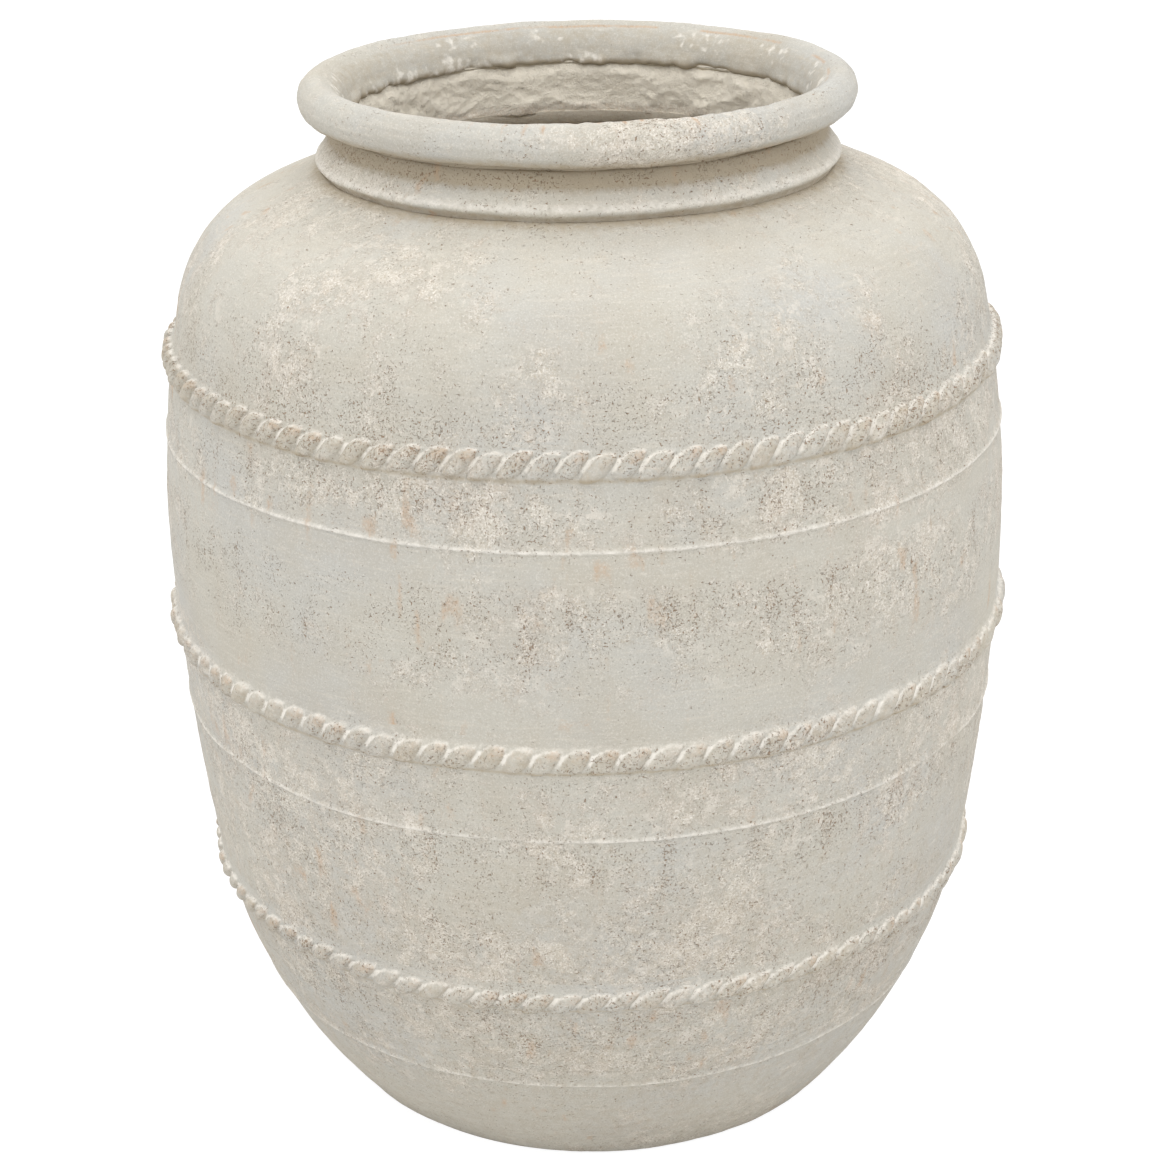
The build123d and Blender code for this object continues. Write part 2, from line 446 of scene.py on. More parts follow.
def new_group(name, inputs, outputs):
    """A node group with these named sockets; gives the group, its inputs and its outputs."""
    group = bpy.data.node_groups.new(name, "ShaderNodeTree")
    kinds = {"value": "NodeSocketFloat", "colour": "NodeSocketColor", "place": "NodeSocketVector"}
    for socket_name, kind in inputs.items():
        group.interface.new_socket(socket_name, in_out="INPUT", socket_type=kinds[kind])
    for socket_name, kind in outputs.items():
        group.interface.new_socket(socket_name, in_out="OUTPUT", socket_type=kinds[kind])
    start = group.nodes.new("NodeGroupInput")
    end = group.nodes.new("NodeGroupOutput")
    return group, start.outputs, end.inputs


def place_group(tree, group, **inputs):
    """Places a node group in a material with these inputs, and gives its outputs."""
    node = add_node(tree, "ShaderNodeGroup", node_tree=group)
    for name, value in inputs.items():
        feed(tree, node.inputs[name], value)
    return node.outputs


def build_wash_patches():
    """Smooth wash in warm and cool greys, with cream and rosy crust over it, all finely flecked."""
    group, given, out = new_group(
        "wash_patches", {"Place": "place", "Crust": "value"}, {"Colour": "colour", "Crust": "value"}
    )
    place = given["Place"]

    # Crust with a broken edge
    broken = speckle(group, place, scale=70, detail=8, roughness=0.75)
    edge = calculate(group, "MULTIPLY", calculate(group, "SUBTRACT", broken, 0.5), 2.4)
    crust = soft_cut(group, calculate(group, "ADD", given["Crust"], edge), 0.30, 0.90)

    # Wash, clouded with soil and scraped level
    cool = soft_cut(group, speckle(group, place, scale=7, detail=4, roughness=0.5), 0.42, 0.66)
    colour = tint(group, cool, wash, cool_wash)
    clouds = speckle(group, place, scale=13, detail=6, roughness=0.65)
    colour = tint(group, soft_cut(group, clouds, 0.40, 0.66, most=0.22), colour, soil)
    level_place = scaled_place(group, place, (0.09, 0.09, 1))
    scrapes = speckle(group, level_place, scale=420, detail=2, roughness=0.6)
    colour = tint(group, soft_cut(group, scrapes, 0.50, 0.75, most=0.45), colour, cream_crust)

    # Crust over the wash, peeling and flaked
    rosy = soft_cut(group, speckle(group, place, scale=16, detail=6, roughness=0.65), 0.42, 0.66)
    over = tint(group, rosy, cream_crust, rosy_crust)
    colour = tint(group, calculate(group, "MULTIPLY", crust, 0.75), colour, over)
    peeling = speckle(group, place, scale=85, detail=8, roughness=0.72, distortion=0.4)
    peeling = soft_cut(group, peeling, 0.54, 0.58, most=0.60)
    peeling = calculate(group, "MULTIPLY", peeling, soft_cut(group, given["Crust"], 0.30, 0.60))
    colour = tint(group, peeling, colour, pale_crust)
    flaked = speckle(group, place, scale=230, detail=4, roughness=0.7, distortion=0.8)
    flaked = soft_cut(group, flaked, 0.50, 0.60, most=0.55)
    colour = tint(group, calculate(group, "MULTIPLY", flaked, crust), colour, pale_crust)

    # Fine grain, strongest on the crust
    grain = speckle(group, place, scale=800, detail=2, roughness=0.65)
    grain_depth = soft_cut(group, crust, 0.0, 1.0, least=0.32)
    gaps = soft_cut(group, grain, 0.30, 0.48, least=0.66, most=0.0)
    colour = tint(group, calculate(group, "MULTIPLY", gaps, grain_depth), colour, soil)
    granules = soft_cut(group, grain, 0.53, 0.66, most=0.72)
    colour = tint(group, calculate(group, "MULTIPLY", granules, grain_depth), colour, plaster)
    feed(group, out["Colour"], colour)
    feed(group, out["Crust"], crust)
    return group


def build_pits():
    """Small ragged pits, more and larger where they lie thickly: round ones, flat ones and upright ones."""
    group, given, out = new_group("pits", {"Place": "place", "Density": "value"}, {"Pits": "value"})
    least = soft_cut(group, given["Density"], 0.0, 1.0, least=0.76, most=0.62)
    holes = 0.0
    for stretch in ((1, 1, 1), (0.6, 0.6, 1.2), (1.2, 1.2, 0.55)):
        place = scaled_place(group, given["Place"], stretch)
        grain = speckle(group, place, scale=660, detail=1.5, roughness=0.6, distortion=0.8)
        hole = soft_cut(group, calculate(group, "SUBTRACT", grain, least), 0.0, 0.035)
        holes = calculate(group, "MAXIMUM", hole, holes)
    feed(group, out["Pits"], holes)
    return group


def build_crumbs():
    """Fine unevenness: grainy on crust, faint brush and wheel marks on wash, sunk at the pits."""
    group, given, out = new_group(
        "crumbs", {"Place": "place", "Crust": "value", "Pits": "value"}, {"Height": "value"}
    )
    place = given["Place"]
    grains = speckle(group, place, scale=600, detail=2, roughness=0.7)
    level_place = scaled_place(group, place, (0.10, 0.10, 1))
    wheel_marks = speckle(group, level_place, scale=330, detail=2, roughness=0.6)
    rough = calculate(group, "MULTIPLY", grains, soft_cut(group, given["Crust"], 0.0, 1.0, least=0.4))
    brushed = calculate(group, "ADD", rough, calculate(group, "MULTIPLY", wheel_marks, 0.25))
    feed(group, out["Height"], calculate(group, "SUBTRACT", brushed, given["Pits"]))
    return group


def build_weathering():
    """Pale clay and painted light, soil and painted shade, plaster and painted highlights, bare clay and
    dark pits, laid over a colour.
    """
    inputs = {"Place": "place", "Colour": "colour"}
    inputs |= {name: "value" for name in ("Pale", "Soil", "Plaster", "Clay", "Pits")}
    group, given, out = new_group("weathering", inputs, {"Colour": "colour"})
    colour = tint(group, given["Pale"], given["Colour"], pale_clay)
    # Soil also paints shade, plaster also paints highlights, and the pale clay above also paints light
    layers = (("Soil", soil, 0.85, 150), ("Plaster", plaster, 0.95, 240), ("Clay", clay, 0.75, 420))
    for name, over, strength, spots in layers:
        broken = speckle(group, given["Place"], scale=spots, detail=3, roughness=0.7)
        edge = calculate(group, "MULTIPLY", calculate(group, "SUBTRACT", broken, 0.5), 1.1)
        ragged = soft_cut(group, calculate(group, "ADD", given[name], edge), 0.05, 0.95)
        share = calculate(group, "MULTIPLY", ragged, soft_cut(group, given[name], 0.0, 0.12))
        colour = tint(group, calculate(group, "MULTIPLY", share, strength), colour, over)
    colour = tint(group, calculate(group, "MULTIPLY", given["Pits"], 0.75), colour, pit_brown)
    feed(group, out["Colour"], colour)
    return group


wash_patches = build_wash_patches()
pits = build_pits()
crumbs = build_crumbs()
weathering = build_weathering()


def limewash(name, relief_depth):
    """Limewashed clay that follows the marks on its mesh."""
    material = bpy.data.materials.new(name)
    material.use_nodes = True
    tree = material.node_tree
    shader = tree.nodes["Principled BSDF"]
    place = add_node(tree, "ShaderNodeTexCoord").outputs["Object"]
    marks = {}
    for mark in ("crust", "pitted", "pale", "dirt", "worn", "bare"):
        marks[mark] = add_node(tree, "ShaderNodeAttribute", attribute_name=mark).outputs["Fac"]
    patches = place_group(tree, wash_patches, Place=place, Crust=marks["crust"])
    holes = place_group(tree, pits, Place=place, Density=marks["pitted"])
    weathered = place_group(
        tree, weathering, Place=place, Colour=patches["Colour"], Pale=marks["pale"], Soil=marks["dirt"],
        Plaster=marks["worn"], Clay=marks["bare"], Pits=holes["Pits"],
    )
    grain = place_group(tree, crumbs, Place=place, Crust=patches["Crust"], Pits=holes["Pits"])
    bump = add_node(tree, "ShaderNodeBump")
    feed(tree, bump.inputs["Height"], grain["Height"])
    feed(tree, bump.inputs["Distance"], relief_depth)
    feed(tree, shader.inputs["Base Color"], weathered["Colour"])
    feed(tree, shader.inputs["Normal"], bump.outputs["Normal"])
    shader.inputs["Roughness"].default_value = 0.92
    shader.inputs["Specular IOR Level"].default_value = 0.2
    return material


washed_wall = limewash("washed_wall", relief_depth=0.0010)
washed_rope = limewash("washed_rope", relief_depth=0.0008)
washed_rim = limewash("washed_rim", relief_depth=0.0006)
smeared_clay = limewash("smeared_clay", relief_depth=0.0012)


# Pieces

def clay_piece(name, node, finish, places, marks, sharp_rows=(), capped=False):
    """A closed ring of clay from rows of places round the jar, standing for its CAD node."""
    rows, columns = places.shape[:2]
    index = np.arange(rows * columns).reshape(rows, columns)
    lower, upper = (index[:-1], index[1:]) if capped else (index, np.roll(index, -1, axis=0))
    quads = np.stack([lower, np.roll(lower, -1, axis=1), np.roll(upper, -1, axis=1), upper], axis=-1)
    faces = quads.reshape(-1, 4).tolist()
    if capped:
        faces += [index[0][::-1].tolist(), index[-1].tolist()]
    mesh = bpy.data.meshes.new(name)
    mesh.from_pydata(places.reshape(-1, 3).tolist(), [], faces)
    mesh.shade_smooth()
    ends = np.zeros(2 * len(mesh.edges), int)
    mesh.edges.foreach_get("vertices", ends)
    first_row, second_row = (ends.reshape(-1, 2) // columns).T
    sharp = (first_row == second_row) & np.isin(first_row, np.array(sharp_rows) % rows)
    mesh.edges.foreach_set("use_edge_sharp", sharp)
    for mark, values in marks.items():
        attribute = mesh.attributes.new(mark, "FLOAT", "POINT")
        attribute.data.foreach_set("value", values.astype(np.float32).ravel())
    mesh.materials.append(finish)
    piece = bpy.data.objects.new(name, mesh)
    bpy.context.scene.collection.objects.link(piece)
    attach(piece, "root")
    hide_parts(node)
    return piece


def row_lengths(low, high):
    """Rows up the wall between two lengths, closer together at the raised lines."""
    line_reach, line_rows = 0.005, 11
    clearance, least_step = 0.001, 0.0004
    rows = np.linspace(low, high, int((high - low) / wall_step) + 1)
    for height in [*raised_lines, foot_groove]:
        close = length_at(height) + np.linspace(-line_reach, line_reach, line_rows)
        if close[0] > low and close[-1] < high:
            beside = (rows < close[0] - clearance) | (rows > close[-1] + clearance)
            rows = np.sort(np.concatenate([rows[beside], close]))
    return rows[np.concatenate([[True], np.diff(rows) > least_step])]


def outer_rows(low, high):
    """Outer wall between two heights: its places and marks."""
    section, outward = outline_at(row_lengths(length_at(low), length_at(high)))
    return turned(section, outward, wall_columns, wall_relief), wall_marks(around(section, wall_columns))


def inner_rows(*corners):
    """Inner wall along the line through these corners (radius, height), from the top down."""
    stretches = [bowed_line(start, end, 0)[:-1] for start, end in zip(corners, corners[1:])]
    line = np.vstack(stretches + [corners[-1:]])
    length = running_length(line)
    steps = np.linspace(0, length[-1], max(3, int(length[-1] / inner_step)))
    section = np.stack([np.interp(steps, length, part) for part in line.T], axis=-1)
    outward = outward_from(np.gradient(section, steps, axis=0))
    return turned(section, outward, wall_columns, inner_relief), inner_marks(around(section, wall_columns))


def inner_radius(height):
    """Radius of the inner wall below the shoulder, straight between the seams."""
    heights = (0, lower_seam, middle_seam, upper_seam)
    radii = (base_radius, lower_seam_radius, middle_seam_radius, upper_seam_radius)
    return float(np.interp(height, heights, radii)) - wall_thickness


def wall_course(name, node, low, high):
    """One course of the wall, with its seams rising inwards."""
    inner_high = high + seam_rise
    inner_low = low + seam_rise if low > base_top else low
    inner = inner_rows((inner_radius(inner_high), inner_high), (inner_radius(inner_low), inner_low))
    outer = outer_rows(low, high)
    places, marks = join_rows([outer, inner])
    top = len(outer[0])
    clay_piece(name, node, washed_wall, places, marks, (0, top - 1, top, -1))


def shoulder():
    """The shoulder course, with the flat seat of the neck and the sloping roof inside."""
    wall_share, roof_share = 0.35, 0.4
    seam_radius = upper_seam_radius - wall_thickness
    bend = shoulder_corner(wall_thickness)
    roof = bend[1] + (bend[0] - mouth_radius) * math.tan(shoulder_slope)
    low_wall = bend + wall_share * (np.array([seam_radius, upper_seam]) - bend)
    low_roof = bend + roof_share * (np.array([mouth_radius, roof]) - bend)
    inner = inner_rows(
        (mouth_radius, neck_seat),
        (mouth_radius, roof),
        tuple(low_roof),
        tuple(low_wall),
        (seam_radius - math.tan(shoulder_lean) * seam_rise, upper_seam + seam_rise),
    )
    outer = outer_rows(upper_seam, neck_seat)
    places, marks = join_rows([outer, inner])
    top = len(outer[0])
    sharp_rows = (0, top - 1, top, -1)
    clay_piece("shoulder_wall", "shoulder_course", washed_wall, places, marks, sharp_rows)


def base():
    """The base disc: the lowest part of the wall, worn at its edge, with a flat underside."""
    worn_edge = 0.0025
    ring_radii = (0.02, 0.08, 0.14)
    outer = outer_rows(worn_edge, base_top)
    edge = [(base_radius - 0.008, 0), (base_radius - 0.0015, 0.0004)]
    under = np.array([(radius, 0) for radius in ring_radii] + edge)
    top = np.array([(radius, base_top) for radius in (inner_radius(base_top), *ring_radii[::-1])])
    under_rows = around(under, wall_columns), wall_marks(around(under, wall_columns))
    top_rows = around(top, wall_columns), inner_marks(around(top, wall_columns))
    places, marks = join_rows([under_rows, outer, top_rows])
    sharp = len(under) + len(outer[0]) - 1
    clay_piece("base", "base_disc", washed_wall, places, marks, (sharp,), capped=True)


def rounded_section(corners, rounding, step=fine_step):
    """A closed section through these corners, counter-clockwise, rounded off: points, outward directions."""
    between = 4
    loop = np.vstack([corners, corners[:1]])
    length = running_length(loop)
    count = between * int(length[-1] / step)
    steps = np.arange(count) * length[-1] / count
    points = np.stack([np.interp(steps, length, part) for part in loop.T], axis=-1)
    waves = np.fft.fftfreq(count, length[-1] / count)
    soften = np.exp(-2 * (math.pi * waves * rounding) ** 2)
    points = np.fft.ifft(np.fft.fft(points, axis=0) * soften[:, None], axis=0).real
    outward = outward_from(np.roll(points, -1, axis=0) - np.roll(points, 1, axis=0))
    return points[::between], outward[::between]


def collar():
    """The flared collar round the foot of the neck, hollowed above its crest and undercut below it."""
    sunk, below, above = 0.007, 0.002, 0.006
    corners = [
        (neck_radius - sunk, neck_seat - below),
        (neck_radius + 0.0030, neck_seat - below),
        (neck_radius + 0.0045, neck_seat + 0.0022),
        (collar_radius - 0.0030, neck_seat + 0.0042),
        (collar_radius - 0.0002, neck_seat + 0.0064),
        (collar_radius - 0.0004, neck_seat + 0.0092),
        (collar_radius - 0.0034, neck_seat + 0.0122),
        (neck_radius + 0.0026, neck_seat + 0.0170),
        (neck_radius - 0.0020, neck_seat + 0.0225),
        (neck_radius - 0.0048, collar_top + above),
        (neck_radius - sunk, collar_top + above),
    ]
    section, outward = rounded_section(corners, rounding=0.0012)

    def relief(flat):
        hand = lumps(flat, size=0.07, seed=31, depth=0.0011)
        turning = lumps(flat, size=0.02, seed=32, stretch=(2, 2, 1), depth=0.0005)
        return hand + turning + lumps(flat, size=0.006, seed=33, depth=0.00025)

    flat = around(section, wall_columns)
    height = flat[..., 2] - neck_seat
    marks = wall_marks(flat)
    below_crest = 1 - smooth_step(height, 0.003, 0.008)
    under_rim = smooth_step(height, 0.016, 0.025)
    # Painted shade in the undercut below the crest and in the hollow under the rim
    marks["dirt"] = np.clip(0.6 * below_crest + under_rim, 0, 1)
    # Painted highlight along the crest
    marks["worn"] = 0.45 * bell(height, 0.0105, 0.003)
    # More pits under the rim, deepening its painted shade
    marks["pitted"] = np.clip(marks["pitted"] + 0.1 * under_rim, 0, 1)
    marks["crust"] = np.clip(0.7 * marks["crust"] + 0.1, 0, 1)
    # Paler outside the painted shade under the rim
    marks["pale"] = 0.14 * (1 - under_rim)
    places = turned(section, outward, wall_columns, relief)
    clay_piece("collar", "collar_band", washed_rim, places, marks)


def neck():
    """The plain neck ring between collar and rim."""
    inner, outer = neck_radius - neck_wall_thickness, neck_radius - neck_drawn_in
    corners = [(inner, neck_seat), (outer, neck_seat), (outer, rim_seat), (inner, rim_seat)]
    section, outward = rounded_section(corners, rounding=0.0008, step=0.003)

    def relief(flat):
        return lumps(flat, size=0.03, seed=35, depth=0.0006)

    flat = around(section, wall_columns)
    marks = wall_marks(flat)
    # Painted shade over the whole neck, which lies in the hollow under the rim
    marks["dirt"] = np.ones(flat.shape[:-1])
    places = turned(section, outward, wall_columns, relief)
    clay_piece("neck", "neck_wall", washed_rim, places, marks)


def rim_marks(flat, inside, front_right):
    """Finish of the rim: crumbled at its front right, flaked inside, rusty along its arris and its front."""
    height = flat[..., 2] - rim_seat
    radius = np.hypot(flat[..., 0], flat[..., 1])
    angle = np.arctan2(flat[..., 1], flat[..., 0])
    marks = wall_marks(flat)

    # Painted shade under the rim and along its torn lower edge, the inner face darker, flakes of plaster
    # inside, crumbled wash at the front right
    recess_radius, lip_radius = 0.172, 0.180
    underside = (1 - smooth_step(height, 0.0, 0.008)) * smooth_step(radius, recess_radius, lip_radius)
    torn_edge = inside * (1 - smooth_step(height, 0.0, 0.004))
    marks["dirt"] = np.clip(0.8 * underside + 0.7 * torn_edge + 0.32 * inside, 0, 1)
    flakes = lumps(flat, size=0.045, seed=34) + lumps(flat, size=0.0055, seed=49, depth=0.8)
    marks["worn"] = 0.52 * inside * smooth_step(flakes, 0.15, 0.55)
    marks["crust"] = np.clip(0.45 * marks["crust"] - 0.1 * inside + 0.48 * front_right, 0, 1)
    patches = lumps(flat, size=0.04, seed=50, depth=0.3)
    marks["pitted"] = np.clip(0.34 + patches + 0.28 * front_right, 0, 1) * (1 - inside)

    # Bare clay along the far arris, in broken stretches, and as short ticks across the front
    far_right = smooth_step(np.cos(angle - math.radians(60)), -0.1, 0.5)
    arris_radius, arris_width = rim_radius - 0.0205, 0.0011
    arris = bell(radius, arris_radius, arris_width) * smooth_step(height, 0.017, 0.020) * far_right
    stretches = lumps(flat, size=0.05, seed=41) + lumps(flat, size=0.009, seed=42, depth=0.5)
    broken = smooth_step(stretches, -0.25, 0.25)
    mean_radius, tick_shortening = 0.18, 0.3
    unrolled = np.stack([mean_radius * angle, tick_shortening * radius, 0 * radius], axis=-1)
    ticks = smooth_step(lumps(unrolled, size=0.0045, seed=51), 0.25, 0.55)
    on_front = bell(angle, math.radians(-82), math.radians(32)) * smooth_step(height, 0.020, 0.026)
    marks["bare"] = np.clip(0.75 * arris * broken + 0.80 * ticks * on_front, 0, 1)
    return marks


def rim():
    """The rolled rim: round outside, smooth inside, with a ragged lower inner edge."""
    corners = [
        (mouth_radius + 0.0055, rim_seat - 0.001),
        (rim_radius - 0.018, rim_seat - 0.0015),
        (rim_radius - 0.008, rim_seat + 0.0005),
        (rim_radius - 0.0012, rim_seat + 0.0065),
        (rim_radius + 0.0008, rim_seat + 0.0135),
        (rim_radius - 0.0010, rim_seat + 0.0210),
        (rim_radius - 0.0070, rim_top - 0.0015),
        (rim_radius - 0.0140, rim_top + 0.0002),
        (rim_radius - 0.0190, rim_top - 0.0024),
        (mouth_radius + 0.0110, rim_top - 0.0056),
        (mouth_radius + 0.0068, rim_top - 0.0098),
        (mouth_radius + 0.0036, rim_top - 0.0145),
        (mouth_radius + 0.0010, rim_seat + 0.0080),
        (mouth_radius - 0.0004, rim_seat + 0.0025),
        (mouth_radius + 0.0010, rim_seat - 0.0006),
    ]
    section, outward = rounded_section(corners, rounding=0.0012)
    flat = around(section, rim_columns)
    angle = np.arctan2(flat[..., 1], flat[..., 0])
    radius = np.hypot(flat[..., 0], flat[..., 1])
    lip_width, edge_reach, edge_proud = 0.0145, 0.006, 0.0006
    inside = smooth_step(mouth_radius + lip_width - radius, 0, 0.005)
    front_right = bell(angle, math.radians(-72), math.radians(24)) * (1 - inside)
    facing_in, facing_down = np.clip(-outward, 0, 1).T
    lower_edge = (facing_in + facing_down) * (section[:, 0] < mouth_radius + edge_reach)

    def relief(flat):
        rough = smooth_step(crust_at(flat), 0.45, 0.85)
        hand = lumps(flat, size=0.10, seed=36, depth=0.0012) + lumps(flat, size=0.03, seed=37, depth=0.0006)
        chips = front_right * lumps(flat, size=0.008, seed=53, depth=0.0011)
        grain = (0.0001 + 0.0004 * rough) * lumps(flat, size=0.006, seed=38)
        low = 1 - smooth_step(flat[..., 2], rim_seat + 0.001, rim_seat + 0.010)
        torn = lumps(flat, size=0.034, seed=39, depth=0.0026)
        torn += lumps(flat, size=0.010, seed=40, depth=0.0014)
        return hand + chips + grain + lower_edge[:, None] * low * (torn + edge_proud)

    places = turned(section, outward, rim_columns, relief)
    marks = rim_marks(flat, inside, front_right)
    clay_piece("rim", "rim_roll", washed_rim, places, marks)


def neck_smear():
    """Clay smeared by hand over the inside of the neck, ridged and torn along its top."""
    into_neck, torn_back, sway_reach = 0.001, 0.003, 0.006
    outer = mouth_radius + neck_lute_thickness + into_neck
    low_end, high_end = neck_seat - 0.002, rim_seat + 0.001
    corners = [(mouth_radius, low_end), (outer, low_end), (outer, high_end), (mouth_radius, high_end)]
    section, outward = rounded_section(corners, rounding=0.0012, step=0.0014)
    inward = smooth_step(-outward[:, 0], 0, 0.5)[:, None]
    drawn_out = (1.6, 1.6, 0.8)

    def ridges(places, size, seed, depth):
        return depth * (0.4 - 2 * np.abs(lumps(places, size, seed, drawn_out)))

    def relief(flat):
        sway = np.stack([lumps(flat, size=0.030, seed=seed) for seed in (43, 44, 45)], axis=-1)
        bent = flat + sway_reach * sway
        broad = lumps(bent, size=0.040, seed=46, stretch=(1.4, 1.4, 0.8), depth=0.0027)
        pinched = ridges(bent, size=0.032, seed=47, depth=0.0022)
        strokes = ridges(bent, size=0.010, seed=52, depth=0.0008)
        grain = lumps(flat, size=0.0045, seed=48, depth=0.0006)
        under_rim = smooth_step(flat[..., 2], rim_seat - 0.010, rim_seat)
        return inward * (broad + pinched + strokes + grain - torn_back * under_rim)

    flat = around(section, smear_columns)
    depth = relief(flat)
    low = 1 - smooth_step(flat[..., 2] - neck_seat, 0.002, 0.010)
    # Painted shade in the hollows and painted highlights on the ridges, and darker and browner towards the
    # foot
    soil_in_hollows, plaster_on_ridges = 60, 80
    marks = wall_marks(flat)
    marks["dirt"] = np.clip(-soil_in_hollows * depth - 0.10 + 0.12 * low, 0, 0.30)
    marks["bare"] = np.clip(0.05 + 0.25 * low, 0, 1)
    marks["worn"] = np.clip(plaster_on_ridges * depth - 0.10, 0, 0.5)
    # Paler than the wall, partly painted light for the light that hardly reaches inside the neck
    marks["pale"] = 0.90 - 0.50 * low
    marks["crust"] = np.full(depth.shape, 0.60)
    marks["pitted"] = np.full(depth.shape, 0.20)
    places = turned(section, outward, smear_columns, relief)
    clay_piece("neck_smear", "neck_lute", smeared_clay, places, marks)


def hidden_clay(name, node, corners, lumpiness):
    """A ring of finger-pressed clay inside the jar, through these corners."""
    section, outward = rounded_section(corners, rounding=0.003, step=hidden_step)

    def relief(flat):
        return lumpiness * inner_relief(flat)

    places = turned(section, outward, hidden_columns, relief)
    marks = inner_marks(around(section, hidden_columns))
    clay_piece(name, node, smeared_clay, places, marks)


def inner_coil():
    """The coil pressed into the corner between the base and the wall."""
    reach, into_wall, overlap = 0.034, 0.002, 0.001
    corners = [
        (inner_radius(base_top) - reach, base_top - overlap),
        (inner_radius(base_top) + into_wall, base_top - overlap),
        (inner_radius(coil_top) + into_wall, coil_top + overlap),
    ]
    hidden_clay("inner_coil", "base_coil", corners, lumpiness=1)


def seam_smear(name, node, height):
    """Clay smeared over a seam inside the wall."""
    half, flat_half, proud, into_wall = 0.023, 0.009, 0.005, 0.001
    corners = [
        (inner_radius(height) - proud, height - flat_half),
        (inner_radius(height - half) + into_wall, height - half),
        (inner_radius(height + half) + into_wall, height + half),
        (inner_radius(height) - proud, height + flat_half),
    ]
    hidden_clay(name, node, corners, lumpiness=0.6)


def rope_band(name, node, seam_height, rope_height, proud, pitch, crease_depth, plastered, lean, seed):
    """A twisted rope of clay over a seam, with slanted lays pressed by hand and plaster in their creases."""
    lay_columns, rope_rows = 18, 38
    bed_below, bed_above = 0.005, 0.010
    back_depth = 0.004
    dice = np.random.default_rng(seed)
    centre = length_at(seam_height)
    edge = rope_height / 2
    rope_radius = outline_at(np.array([centre]))[0][0, 0]
    lays = round(2 * math.pi * rope_radius / pitch)
    columns = lay_columns * lays
    up = np.linspace(-edge - bed_below, edge + bed_above, rope_rows)
    section, outward = outline_at(centre + up)
    flat = around(section, columns)
    up = up[:, None]
    turn = np.arange(columns) / columns * lays
    level = (up - lumps(flat, size=0.12, seed=seed, depth=0.0012)) / edge
    inside = np.clip(level, -1, 1)

    # Each lay leans over to the right, as a strand does that goes round a rope
    twist = lean * (0.5 * inside + 0.5 * np.arcsin(inside) * 2 / math.pi)
    place = turn - twist + lumps(flat, size=0.03, seed=seed + 1, depth=0.11)
    lay = np.floor(place).astype(int) % lays
    across = 2 * (place - np.floor(place)) - 1
    lay_height = dice.uniform(0.80, 1.14, lays)[lay]
    lay_shift = dice.uniform(-0.11, 0.11, lays)[lay]
    lay_clay = dice.uniform(0, 1, lays)[lay]
    lay_soil = dice.uniform(0, 1, lays)[lay]

    # Pillows of clay, with the creases between them partly filled
    off_centre = (np.abs(1.10 * across) ** 2.6 + np.abs(level + lay_shift) ** 3.6) ** (1 / 2.9)
    pillow = np.sqrt(np.clip(1 - off_centre ** 2.2, 0, 1))
    strip = np.sqrt(np.clip(1 - np.abs(level) ** 3, 0, 1))
    filled = (1 - 0.75 * crease_depth) * strip
    rope = proud * lay_height * np.maximum(pillow, filled + 0.25 * (1 - filled) * pillow)

    # A thin bed of clay above and below, which runs out into the wall
    above = np.clip((up / edge - 0.75) * edge / bed_above, 0, 1)
    below = np.clip((-up / edge - 0.80) * edge / bed_below, 0, 1)
    bed = np.where(up > 0, 0.0009 * (1 - above) ** 2, 0.0010 * (1 - below) ** 2)
    sunk = 0.0006 * (smooth_step(above, 0.9, 1.0) + smooth_step(below, 0.85, 1.0))
    dents = lumps(flat, size=0.010, seed=seed + 2, depth=0.0004)
    grain = lumps(flat, size=0.005, seed=seed + 3, depth=0.0002)
    stand = np.maximum(rope, bed) + (dents + grain) * strip - sunk
    outer = around(section[:, None] + (wall_relief(flat) + stand)[..., None] * outward[:, None], columns)
    ends = [-1, 0]
    back = around(section[ends] - back_depth * outward[ends], columns)

    # Plaster in the creases, plaster and a painted highlight round the upper left of each lay and along the
    # rope's upper side, bare clay at the lays' upper ends, soil on the lays and a painted shadow below the
    # rope
    marks = wall_marks(flat)
    on_lay = smooth_step(pillow, 0.10, 0.50)
    on_strip = smooth_step(strip, 0.1, 0.5)
    crease = on_strip * (1 - on_lay) * smooth_step(level, -0.7, 0.0) * (1 - smooth_step(level, 0.4, 0.7))
    upper_left = smooth_step(level - 0.8 * across, -0.1, 0.6)
    # Painted highlight, with plaster, along the upper left outline of each lay
    outlined = (0.70 - 1.6 * plastered) * bell(off_centre, 0.91, 0.11) * upper_left
    # The upper side whitened, partly with plaster and partly as a painted highlight
    top_edge = smooth_step(level, -0.1, 0.7) * (1 - smooth_step(above, 0.2, 0.9))
    marks["worn"] = np.clip(0.75 * crease + outlined + plastered * top_edge, 0, 0.85)
    upper_end = smooth_step(level, 0.0, 0.6) * smooth_step(across, -0.5, 0.1)
    marks["bare"] = on_lay * (0.12 + upper_end * (0.06 + 0.26 * smooth_step(lay_clay, 0.2, 0.9)))
    # Painted shadow below the rope
    low_side = smooth_step(-level, 0.60, 1.0) * (1 - smooth_step(below, 0.3, 1.0))
    marks["dirt"] = np.clip(0.65 * low_side + on_lay * (0.15 + 0.25 * lay_soil), 0, 1)
    marks["crust"] = np.clip(0.75 * marks["crust"], 0, 1)
    lay_pits = on_lay * (0.05 + 0.15 * smooth_step(lay_clay, 0.0, 0.6))
    marks["pitted"] = np.clip(marks["pitted"] + lay_pits, 0, 1)
    back_marks = {mark: values[ends] for mark, values in marks.items()}
    places, marks = join_rows([(outer, marks), (back, back_marks)])
    clay_piece(name, node, washed_rope, places, marks, (rope_rows - 1, 0))


